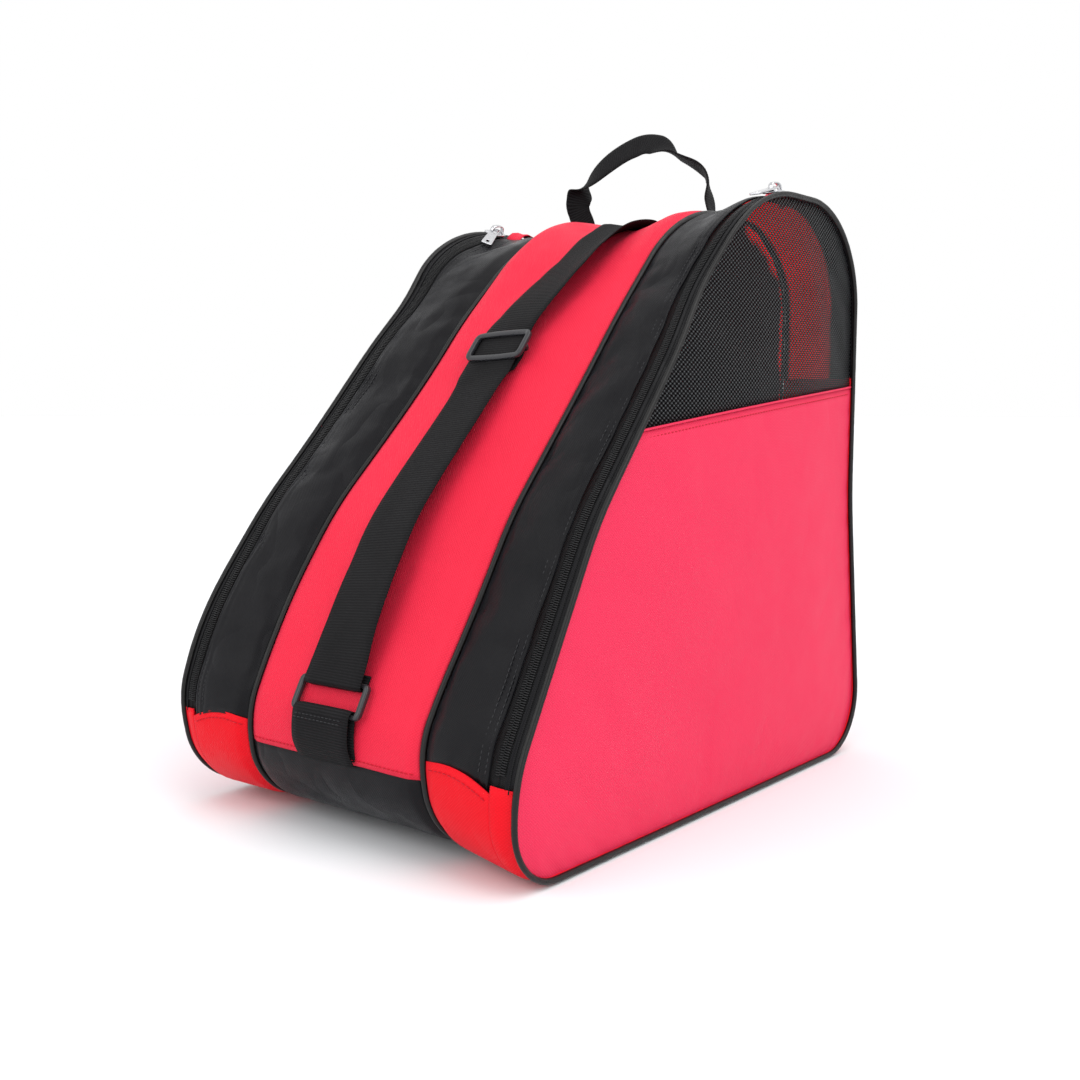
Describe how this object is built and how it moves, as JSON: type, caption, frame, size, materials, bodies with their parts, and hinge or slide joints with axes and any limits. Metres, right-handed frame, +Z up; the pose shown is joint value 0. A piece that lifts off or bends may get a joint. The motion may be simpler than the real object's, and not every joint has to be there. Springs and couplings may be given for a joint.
{
  "type": "skate bag",
  "caption": "Soft wedge-shaped skate bag with zipped side pods, a centre pod, mesh windows, shoulder strap with adjuster and a top handle",
  "frame": {"origin": "on the floor under the middle of the bag", "axes": "+X to the right-hand pod, -Y to the sloping front, +Z up"},
  "size_m": [0.268, 0.3953, 0.4385],
  "materials": {
    "red_oxford": "coated Oxford cloth with a fine diagonal weave",
    "red_lining": "plain lining cloth",
    "black_oxford": "smooth coated Oxford cloth",
    "black_mesh": "fine open mesh",
    "black_piping": "satin round piping",
    "zip_tape": "woven zip tape",
    "zip_coil": "nylon coil",
    "slider_metal": "bright die-cast metal",
    "black_webbing": "ribbed webbing",
    "buckle_plastic": "smooth dark grey moulding"
  },
  "bodies": {
    "bag": {"left_inner_divider": "red_lining", "left_gusset_black": "black_oxford", "left_gusset_red_base": "red_oxford", "left_side_panel": "red_oxford", "left_zip_coil_fixed": "zip_coil", "left_zip_tape_fixed": "zip_tape", "left_seam_piping": "black_piping", "left_side_piping_lower": "black_piping", "left_zip_end_tab": "red_oxford", "right_inner_divider": "red_lining", "right_gusset_black": "black_oxford", "right_gusset_red_base": "red_oxford", "right_side_panel": "red_oxford", "right_zip_coil_fixed": "zip_coil", "right_zip_tape_fixed": "zip_tape", "right_seam_piping": "black_piping", "right_side_piping_lower": "black_piping", "right_zip_end_tab": "red_oxford", "centre_front_panel": "red_oxford", "centre_bottom_panel": "black_oxford", "centre_back_panel": "black_oxford", "back_zip_coil_fixed": "zip_coil", "back_zip_tape_fixed": "zip_tape", "strap_webbing": "black_webbing", "strap_tab": "black_webbing", "strap_loop": "buckle_plastic"},
    "right_flap_body": {"right_side_panel_flap": "red_oxford", "right_mesh_window": "black_mesh", "right_gusset_strip": "black_oxford", "right_zip_coil_flap": "zip_coil", "right_zip_tape_flap": "zip_tape", "right_side_piping_upper": "black_piping"},
    "left_flap_body": {"left_side_panel_flap": "red_oxford", "left_mesh_window": "black_mesh", "left_gusset_strip": "black_oxford", "left_zip_coil_flap": "zip_coil", "left_zip_tape_flap": "zip_tape", "left_side_piping_upper": "black_piping"},
    "back_flap_body": {"back_flap": "black_oxford", "back_zip_coil_flap": "zip_coil", "back_zip_tape_flap": "zip_tape"},
    "right_slider": {"right_zip_slider": "slider_metal"},
    "right_pull": {"right_zip_pull": "slider_metal"},
    "left_slider": {"left_zip_slider": "slider_metal"},
    "left_pull": {"left_zip_pull": "slider_metal"},
    "back_slider": {"back_zip_slider": "slider_metal"},
    "back_pull": {"back_zip_pull": "slider_metal"},
    "strap_adjuster": {"tri_glide": "buckle_plastic", "strap_sewn_end": "black_webbing"},
    "handle": {"handle_webbing": "black_webbing"}
  },
  "joints": [
    {"name": "right_flap_fold", "type": "hinge", "parent": "bag", "child": "right_flap_body", "pos_m": [0.134, -0.193, 0.055], "axis": [0, 0.8721, 0.4893], "range_deg": [0, 105]},
    {"name": "left_flap_fold", "type": "hinge", "parent": "bag", "child": "left_flap_body", "pos_m": [-0.134, -0.193, 0.055], "axis": [0, -0.8721, -0.4893], "range_deg": [0, 105]},
    {"name": "back_flap_fold", "type": "hinge", "parent": "bag", "child": "back_flap_body", "pos_m": [0, 0.18565, 0.095], "axis": [-1, 0, 0], "range_deg": [0, 90]},
    {"name": "right_slider_travel", "type": "hinge", "parent": "bag", "child": "right_slider", "pos_m": [0.122, 0.08334, 0.272], "axis": [1, 0, 0], "range_deg": [0, 40]},
    {"name": "left_slider_travel", "type": "hinge", "parent": "bag", "child": "left_slider", "pos_m": [-0.122, 0.08334, 0.272], "axis": [1, 0, 0], "range_deg": [0, 40]},
    {"name": "back_slider_travel", "type": "slide", "parent": "bag", "child": "back_slider", "axis": [0, -0.1186, 0.9929], "range_m": [0, 0.07]},
    {"name": "right_pull_swing", "type": "hinge", "parent": "right_slider", "child": "right_pull", "pos_m": [0.122, 0.0732, 0.38165], "axis": [-1, 0, 0], "range_deg": [0, 138]},
    {"name": "left_pull_swing", "type": "hinge", "parent": "left_slider", "child": "left_pull", "pos_m": [-0.122, 0.0732, 0.38165], "axis": [-1, 0, 0], "range_deg": [0, 138]},
    {"name": "back_pull_swing", "type": "hinge", "parent": "back_slider", "child": "back_pull", "pos_m": [0.052, 0.19269, 0.07912], "axis": [1, 0, 0], "range_deg": [0, 138]},
    {"name": "strap_adjust", "type": "slide", "parent": "bag", "child": "strap_adjuster", "axis": [0, 0.6382, 0.7699], "range_m": [-0.024, 0.025]},
    {"name": "handle_fold", "type": "hinge", "parent": "bag", "child": "handle", "pos_m": [0, 0.11, 0.3788], "axis": [1, 0, 0], "range_deg": [-85, 60]}
  ]
}
